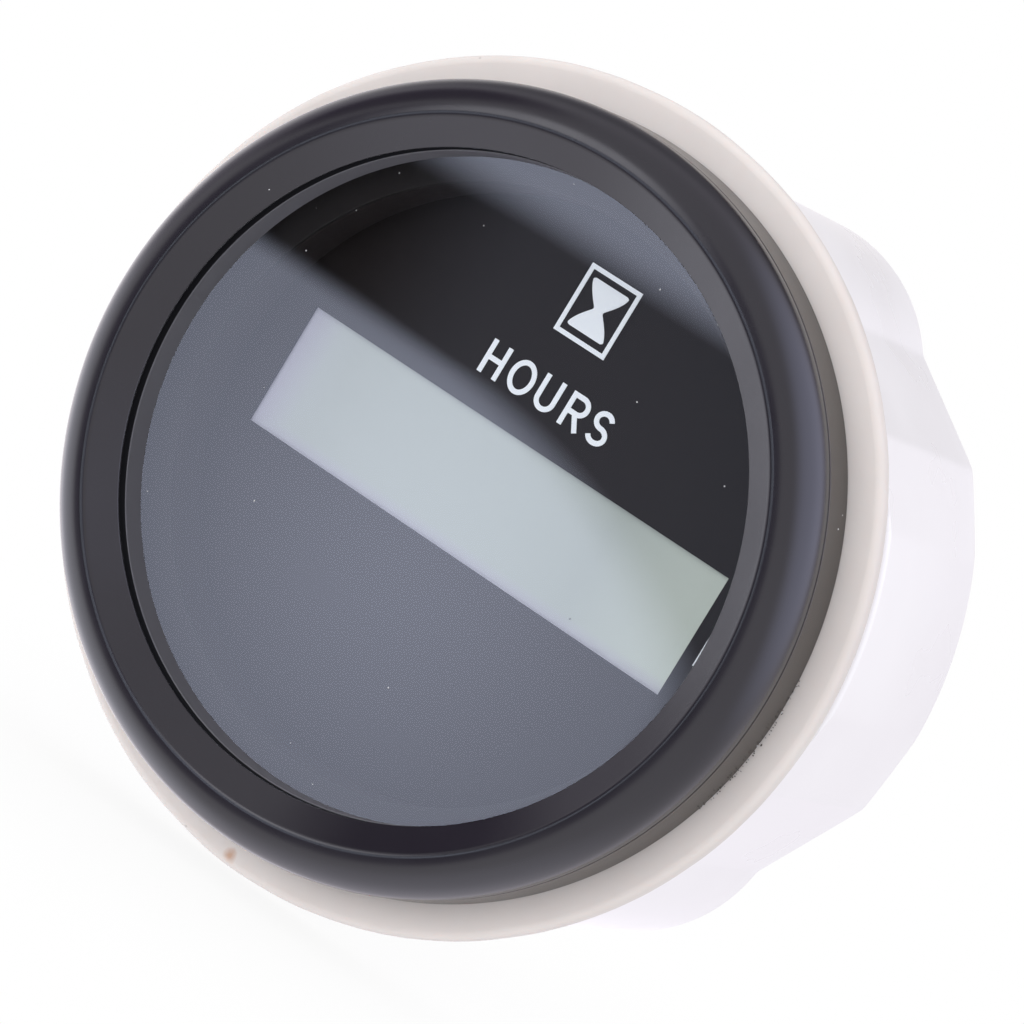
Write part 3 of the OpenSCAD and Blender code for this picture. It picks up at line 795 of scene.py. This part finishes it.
def ovalArc(centre, across, up, start, end, steps=20):
    angles = [math.radians(start + (end - start) * i / steps) for i in range(steps + 1)]
    return [(centre[0] + across * math.cos(a), centre[1] + up * math.sin(a)) for a in angles]


# letters drawn in a box from the baseline up, each with its left edge and width
letterLook = {"H": (-5.98, 1.85), "O": (-3.52, 2.3), "U": (-0.72, 1.9), "R": (1.95, 1.95),
              "S": (4.42, 1.85)}
letterForm = {"ovalSteps": 44, "waist": 0.46, "legStart": 1.2, "legInset": 0.02, "headShare": 0.92,
              "headFrom": 20, "tailTo": -160}


def letterPaths(letter, left, width, low, height, stroke):
    # centre lines of a plain upright letter
    half = stroke / 2
    west, east = left + half, left + width - half
    south, north = low + half, low + height - half
    middle, centre = low + height / 2, left + width / 2
    if letter == "H":
        return [([(west, low), (west, low + height)], False), ([(east, low), (east, low + height)], False),
                ([(west, middle), (east, middle)], False)]
    if letter == "O":
        return [(ovalArc((centre, middle), (east - west) / 2, (north - south) / 2, 0, 360,
                         letterForm["ovalSteps"])[:-1], True)]
    if letter == "U":
        bend = (east - west) / 2
        bowl = ovalArc((centre, south + bend), bend, bend, 180, 360)
        return [([(west, low + height)] + bowl + [(east, low + height)], False)]
    if letter == "R":
        waist = low + height * letterForm["waist"]
        bowl = (north - waist) / 2
        turn = ovalArc((east - bowl, waist + bowl), bowl, bowl, 90, -90)
        return [([(west, low), (west, low + height)], False),
                ([(west, north)] + turn + [(west, waist)], False),
                ([(east - bowl * letterForm["legStart"], waist), (east - letterForm["legInset"], low)],
                 False)]
    upper = (north - middle) / 2
    lower = (middle - south) / 2
    wide = (east - west) / 2
    top = ovalArc((centre, middle + upper), wide * letterForm["headShare"], upper, letterForm["headFrom"],
                  270)
    bottom = ovalArc((centre, middle - lower), wide, lower, 90, letterForm["tailTo"])
    return [(top[:-1] + bottom, False)]


strokes = []
stroke = printLook["stroke"]
for letter, (left, width) in letterLook.items():
    for path, closed in letterPaths(letter, left, width, printLook["baseline"], printLook["capHeight"],
                                    stroke):
        strokes.append((path, [stroke] * len(path), closed))

# hourglass in a frame above the word
glassLook = {"frame": (-2.27, 14.16, 2.64, 20.07), "low": 15.06, "high": 19.22, "half": 1.75, "neck": 0.33,
             "corner": 0.22, "round": 1.55, "waist": 0.05, "rows": 40}


def hourglass(look):
    # frame stroke and one stroke of changing width for the glass
    x0, y0, x1, y1 = look["frame"]
    inset = printLook["frameStroke"] / 2
    corners = [(x0 + inset, y0 + inset), (x1 - inset, y0 + inset), (x1 - inset, y1 - inset),
               (x0 + inset, y1 - inset)]
    middle, reach = (look["low"] + look["high"]) / 2, (look["high"] - look["low"]) / 2
    path, widths = [], []
    for i in range(look["rows"] + 1):
        y = look["low"] + (look["high"] - look["low"]) * i / look["rows"]
        far = min(1.0, math.hypot(abs(y - middle) / reach, look["waist"]))
        bulge = 1 - (1 - far) ** look["round"]
        half = look["neck"] + (look["half"] - look["neck"]) * bulge
        left = max(0.0, reach * (1 - far))
        if left < look["corner"]:
            half -= look["corner"] - math.sqrt(look["corner"] ** 2 - (look["corner"] - left) ** 2)
        path.append(((x0 + x1) / 2, y))
        widths.append(2 * half)
    return [(corners, [printLook["frameStroke"]] * 4, True), (path, widths, False)]


strokes += hourglass(glassLook)
barLook = {"left": 21.65, "width": 1.05, "low": -1.5, "high": 2.7}
barMiddle = barLook["left"] + barLook["width"] / 2
strokes.append(([(barMiddle, barLook["low"]), (barMiddle, barLook["high"])], [barLook["width"]] * 2, False))
ink = bmesh.new()
for k, (path, widths, closed) in enumerate(strokes):
    # each stroke lies a little higher than the one before, so that crossings stay clean
    inkStroke(ink, path, widths, closed, printLook["thick"] + k * printLook["layer"])
dialPrint = meshPiece("dialPrint", ink, whiteInk)
finishPiece(dialPrint, "meter", sharpAngle=30, weld=0.0001)
print("dial print made")


# dust on the lens and the bezel, a crumbly line on the bezel's rear edge

# lens places are across and up, bezel places are angle, radius and height
dustLook = {"size": 0.06, "least": 0.4, "most": 1.4, "seed": 3,
            "lens": [(3.2, -24.3), (11.9, 21.6), (19.0, 11.8), (6.5, 21.5), (4.4, -14.9), (-18.3, 14.1),
                     (-13.1, -8.9), (-16.8, 18.3), (-20.2, 9.4), (-17.3, -1.2), (-21.3, -13.0),
                     (-3.9, 24.7), (-8.5, 18.4), (9.6, 13.5), (-0.1, -22.7), (-11.0, -24.6)],
            "bezel": [(359, 30.7, 7.45), (213, 28.0, 9.65), (44.5, 28.85, 9.4), (148, 27.8, 9.62),
                      (152.5, 26.4, 8.65), (29, 28.55, 9.53), (26, 31.1, 3.3), (28, 31.1, 2.65)]}
crumbLook = {"from": -18.0, "to": 5.0, "radius": 31.2, "height": 2.0, "dark": 70, "chips": 26,
             "size": 0.045, "least": 0.4, "most": 1.6, "jitter": 0.2, "seed": 8}


def speckTree():
    tree, given = startTree("speckScatter", ["Size", "Least", "Most", "Jitter"], ["Seed"])
    points = addNode(tree, "GeometryNodeMeshToPoints", {"Mesh": given["Shape"]})
    shake = addNode(tree, "FunctionNodeRandomValue", {0: (-1, -1, -1), 1: (1, 1, 1), "Seed": given["Seed"]},
                    data_type="FLOAT_VECTOR")
    shift = scaled(tree, shake, given["Jitter"])
    moved = addNode(tree, "GeometryNodeSetPosition", {"Geometry": points, "Offset": shift})
    grain = addNode(tree, "GeometryNodeMeshIcoSphere", {"Radius": given["Size"], "Subdivisions": 2})
    spread = addNode(tree, "FunctionNodeRandomValue",
                     {0: given["Least"], 1: given["Most"], "Seed": given["Seed"]}, data_type="FLOAT_VECTOR")
    placed = addNode(tree, "GeometryNodeInstanceOnPoints", {"Points": moved, "Instance": grain,
                                                            "Scale": spread})
    return endTree(tree, placed, given["Finish"])


specks = speckTree()


def scatter(name, places, look, jitter, material):
    shape = bmesh.new()
    for place in places:
        shape.verts.new(place)
    piece = meshPiece(name, shape, material)
    runNodes(piece, specks, {"Size": look["size"] * mm, "Least": look["least"], "Most": look["most"],
                             "Jitter": jitter * mm, "Seed": look["seed"], "Finish": material})
    return finishPiece(piece, "meter", weld=0.0001)


def onRing(angle, radius, height):
    turn = math.radians(angle)
    return facing(radius * math.cos(turn), height, radius * math.sin(turn))


def crumbLine(look, count):
    step = (look["to"] - look["from"]) / (count - 1)
    return [onRing(look["from"] + k * step, look["radius"], look["height"]) for k in range(count)]


lensDust = [facing(across, lensFace, up) for across, up in dustLook["lens"]]
bezelDust = [onRing(*place) for place in dustLook["bezel"]]
scatter("paleDust", lensDust + bezelDust, dustLook, 0.0, paleDust)
for name, count, finish, slot in (("darkCrumbs", crumbLook["dark"], darkCrumb, "black_plastic"),
                                  ("paleChips", crumbLook["chips"], paleDust, "white_plastic")):
    scatter(name, crumbLine(crumbLook, count), crumbLook, crumbLook["jitter"], finish)
print("dust and crumbs made")


# blades: copies of the CAD blades with their sharp edges broken

bladeLook = {"edge": 0.08, "segments": 2, "weld": 0.001, "flatAngle": 1.0, "sharpAngle": 40.0}


def softEdged(name, node, look, material):
    # merged copy of a CAD node with a small bevel on its edges
    shape = bmesh.new()
    shape.from_mesh(nodes[node].data)
    bmesh.ops.remove_doubles(shape, verts=shape.verts, dist=look["weld"] * mm)
    bmesh.ops.dissolve_limit(shape, angle_limit=math.radians(look["flatAngle"]), verts=shape.verts,
                             edges=shape.edges)
    limit = math.radians(look["sharpAngle"])
    sharp = [e for e in shape.edges if len(e.link_faces) == 2 and e.calc_face_angle() > limit]
    bmesh.ops.bevel(shape, geom=sharp, offset=look["edge"] * mm, segments=look["segments"], profile=0.5,
                    affect="EDGES", clamp_overlap=True)
    return meshPiece(name, shape, material)


for node in bladePlaces:
    blade = softEdged(node.replace("_terminal", "Blade"), node, bladeLook, bladeBrass)
    finishPiece(blade, "meter", [node], sharpAngle=25, weld=0.0001)
print("blades made")


# finishes of the CAD nodes that stay

nodeFinishes = {"dial_plate": dialBlack, "lcd_cell": cellFilm, "light_guide": milkyGuide,
                "contact_strips": stripGrey, "display_frame": frameWhite, "backlight_lamps": lampYellow,
                "circuit_board": boardGreen, "microcontroller": blackEpoxy, "memory_chip": blackEpoxy,
                "crystal": brightSteel, "supply_capacitor": capSleeve, "voltage_regulator": blackEpoxy,
                "protection_diode": blackEpoxy, "chip_resistors": blackEpoxy, "board_screws": brightSteel}
for node, finish in nodeFinishes.items():
    for place in nodes[node].material_slots:
        place.material = finish
print("node finishes set")


# floor, light and background

stageLook = {"floorSize": 1.6, "floorNear": 0.02, "floorFar": 0.08, "shadow": 0.14, "white": "#ffffff",
             "paper": "#f4f4f4", "floorDrop": 0.02, "ambient": 1.0, "cardAway": 0.55,
             "cardColour": "#dde5ff"}


def floorPaper(look):
    # white paper sweep: keeps a soft shadow near the object and turns pure white away from it
    material, tree, shader, place, output = startMaterial("white paper sweep")
    tree.nodes.remove(shader)
    away = vectors(tree, "LENGTH", place)
    fade = ramp(tree, away, look["floorNear"], look["floorFar"], 1 - look["shadow"], 1.0)
    seen = addNode(tree, "ShaderNodeLightPath").outputs
    shown = seen["Is Camera Ray"]
    for ray in ("Is Glossy Ray", "Is Transmission Ray", "Is Diffuse Ray"):
        shown = maths(tree, "MAXIMUM", shown, seen[ray])
    paper = addNode(tree, "ShaderNodeBsdfDiffuse", {"Color": look["paper"]})
    glow = addNode(tree, "ShaderNodeEmission", {"Color": look["white"], "Strength": 1.0})
    mixed = addNode(tree, "ShaderNodeMixShader", {0: maths(tree, "MULTIPLY", fade, shown), 1: paper, 2: glow})
    setInputs(tree, output, {"Surface": mixed})
    material.cycles.emission_sampling = "NONE"
    return material


def flatSheet(name, corners, material):
    shape = bmesh.new()
    shape.faces.new([shape.verts.new(c) for c in corners])
    return meshPiece(name, shape, material)


floorHeight = cadBox[0].z - stageLook["floorDrop"] * mm
reach = stageLook["floorSize"] / 2
floor = flatSheet("floorPaper", [(-reach, -reach, floorHeight), (reach, -reach, floorHeight),
                                 (reach, reach, floorHeight), (-reach, reach, floorHeight)],
                  floorPaper(stageLook))
floor.visible_glossy = False    # mirrored rays pass the floor and see the studio


# light card that the lens mirrors, in millimetres as they show on the lens
cardLook = {"perMetre": 388.2, "acrossShift": 88.59, "upShift": 25.89, "bendFrom": -5.0, "bend": 0.0115,
            "edgeAt": 8.1, "edgeSoft": 2.5, "edgeSpread": 0.2, "sideFrom": 22.0, "sideTo": 30.0,
            "below": 2.2, "glowUp": -7.0, "glowSize": 13.0, "glow": 0.77, "topFrom": 19.0, "topTo": 23.5,
            "above": 2.6, "hazeFrom": -17.0, "hazeTo": -3.0, "haze": 0.28, "leftFrom": -28.0,
            "leftTo": -25.8, "sheet": (-0.4, -0.05, -0.2, 0.06)}


def cardCloth(look):
    # bright below a soft bent edge with a brighter middle, dark band, bright again above
    material, tree, shader, place, output = startMaterial("light card")
    tree.nodes.remove(shader)
    spread = axes(tree, place)
    across = maths(tree, "MULTIPLY_ADD", spread["X"], look["perMetre"], look["acrossShift"])
    up = maths(tree, "MULTIPLY_ADD", spread["Z"], look["perMetre"], look["upShift"])
    past = maths(tree, "MAXIMUM", maths(tree, "SUBTRACT", across, look["bendFrom"]), 0.0)
    bent = maths(tree, "MULTIPLY_ADD", maths(tree, "MULTIPLY", past, past), look["bend"], up)
    line = maths(tree, "SUBTRACT", bent, look["edgeAt"])
    soft = maths(tree, "MULTIPLY_ADD", past, look["edgeSpread"], look["edgeSoft"])
    spot = addNode(tree, "ShaderNodeCombineXYZ", {"X": across, "Y": up})
    off = vectors(tree, "DISTANCE", spot, (0, look["glowUp"], 0))
    # soft ramps: what each follows, where it starts and ends, its level before and after
    fades = {"lower": (maths(tree, "DIVIDE", line, soft), -0.5, 0.5, 1.0, 0.0),
             "side": (across, look["sideFrom"], look["sideTo"], 1.0, 0.0),
             "glow": (off, 0.0, 2 * look["glowSize"], look["below"] + look["glow"], look["below"]),
             "above": (up, look["topFrom"], look["topTo"], 0.0, look["above"]),
             "haze": (across, look["hazeFrom"], look["hazeTo"], 0.0, look["haze"]),
             "left": (across, look["leftFrom"], look["leftTo"], 0.0, 1.0)}
    ramps = {name: ramp(tree, *fade, interpolation_type="SMOOTHSTEP") for name, fade in fades.items()}
    strength = ramps["lower"]
    for name, kind in (("side", "MULTIPLY"), ("glow", "MULTIPLY"), ("above", "MAXIMUM"),
                       ("haze", "MAXIMUM"), ("left", "MULTIPLY")):
        strength = maths(tree, kind, strength, ramps[name])
    glow = addNode(tree, "ShaderNodeEmission", {"Color": stageLook["cardColour"], "Strength": strength})
    setInputs(tree, output, {"Surface": glow})
    return material


cardY = -stageLook["cardAway"]
cardLeft, cardRight, cardLow, cardHigh = cardLook["sheet"]
card = flatSheet("lightCard", [(cardLeft, cardY, cardLow), (cardRight, cardY, cardLow),
                               (cardRight, cardY, cardHigh), (cardLeft, cardY, cardHigh)],
                 cardCloth(cardLook))
card.visible_camera = False
card.visible_diffuse = False
card.visible_transmission = False
card.visible_shadow = False


def direction(azimuth, elevation):
    # unit vector from the object, azimuth from its front towards its right, both in degrees
    turn, lift = math.radians(azimuth), math.radians(elevation)
    return Vector((math.sin(turn) * math.cos(lift), -math.cos(turn) * math.cos(lift), math.sin(lift)))


# what the black paint mirrors: a level that falls upwards, soft light panels and dark flags, sizes in degrees
roomLook = {"level": (1.03, 0.97, 1.1), "upward": -0.2}
roomPatches = [
    {"azimuth": -24, "elevation": -6, "core": 26, "edge": 41, "light": (-0.95, -0.95, -0.95)},
    {"azimuth": -28, "elevation": 18, "core": 7, "edge": 14, "light": (3.4, 3.4, 3.6)},
    {"azimuth": -72, "elevation": 33, "core": 10, "edge": 24, "light": (-0.85, -0.85, -0.88)},
    {"azimuth": -93, "elevation": 12, "core": 6, "edge": 20, "light": (-0.35, -0.35, -0.35)},
    {"azimuth": -150, "elevation": 35, "core": 15, "edge": 45, "light": (-0.6, -0.56, -0.64)},
    {"azimuth": -92, "elevation": -35, "core": 18, "edge": 39, "light": (0.85, 0.88, 1.0)},
    {"azimuth": 100, "elevation": 36, "core": 8, "edge": 55, "light": (1.25, 1.32, 1.9)},
    {"azimuth": -142, "elevation": -4, "core": 18, "edge": 44, "light": (0.6, 0.58, 0.56)},
    {"azimuth": 175, "elevation": 10, "core": 15, "edge": 45, "light": (-0.4, -0.4, -0.46)},
    {"azimuth": 90, "elevation": -78, "core": 15, "edge": 45, "light": (0.4, 0.4, 0.5)}]


def studioWorld():
    # white room: seen as pure white, panels and flags in mirrored light, plain ambient on the object
    world = bpy.data.worlds.new("white studio")
    world.use_nodes = True
    tree = world.node_tree
    tree.nodes.clear()
    way = addNode(tree, "ShaderNodeTexCoord").outputs["Generated"]
    slope = maths(tree, "MULTIPLY", axes(tree, way)["Z"], roomLook["upward"])
    level = vectors(tree, "ADD", slope, roomLook["level"])
    for patch in roomPatches:
        turn = vectors(tree, "DOT_PRODUCT", way, direction(patch["azimuth"], patch["elevation"]))
        edge, core = (math.cos(math.radians(patch[limit])) for limit in ("edge", "core"))
        spot = ramp(tree, turn, edge, core, interpolation_type="SMOOTHSTEP")
        level = vectors(tree, "MULTIPLY_ADD", spot, patch["light"], level)
    seen = addNode(tree, "ShaderNodeLightPath").outputs
    mirrored = blend(tree, seen["Is Glossy Ray"], [stageLook["ambient"]] * 3 + [1.0], level)
    straight = maths(tree, "MAXIMUM", seen["Is Camera Ray"], seen["Is Transmission Ray"])
    colour = blend(tree, straight, mirrored, stageLook["white"])
    sky = addNode(tree, "ShaderNodeBackground", {"Color": colour, "Strength": 1.0})
    addNode(tree, "ShaderNodeOutputWorld", {"Surface": sky})
    bpy.context.scene.world = world


studioWorld()

# name, azimuth, elevation and watts of each lamp
lampLook = {"away": 0.8, "size": 0.5, "colour": "#ffffff",
            "lamps": [("keySoftbox", 5, 55, 0.35), ("frontFill", -14, 2, 3.9),
                      ("rearSoftbox", 98, 60, 0.65)]}
for name, azimuth, elevation, watts in lampLook["lamps"]:
    lamp = bpy.data.lights.new(name, "AREA")
    lamp.energy = watts
    lamp.size = lampLook["size"]
    lamp.color = fromHex(lampLook["colour"])[:3]
    spot = direction(azimuth, elevation) * lampLook["away"]
    holder = bpy.data.objects.new(name, lamp)
    holder.location = spot
    holder.rotation_euler = (-spot).to_track_quat("-Z", "Y").to_euler()
    holder.visible_glossy = False    # the room's panels are what mirrors
    bpy.context.scene.collection.objects.link(holder)
print("stage made")


# camera at the photograph's viewing angle, rolled so that the dial leans as it does there

cameraLook = {"azimuth": 21.898, "elevation": 6.25, "roll": 31.234, "away": 373.515,
              "aim": (6.277, -5.95, 1.633), "lens": 175.78, "sensor": 36.0, "nearest": 0.01}


def placeCamera(look):
    data = bpy.data.cameras.new("photoCamera")
    data.lens = look["lens"]
    data.sensor_width = look["sensor"]
    data.clip_start = look["nearest"]
    back = direction(look["azimuth"], look["elevation"])
    level = back.to_track_quat("Z", "Y").to_matrix().to_4x4()
    rolled = level @ Matrix.Rotation(math.radians(look["roll"]), 4, "Z")
    camera = bpy.data.objects.new("photoCamera", data)
    camera.matrix_world = Matrix.Translation((Vector(look["aim"]) + back * look["away"]) * mm) @ rolled
    bpy.context.scene.collection.objects.link(camera)
    bpy.context.scene.camera = camera


placeCamera(cameraLook)
bpy.context.scene.view_settings.view_transform = "Standard"
print("camera placed")
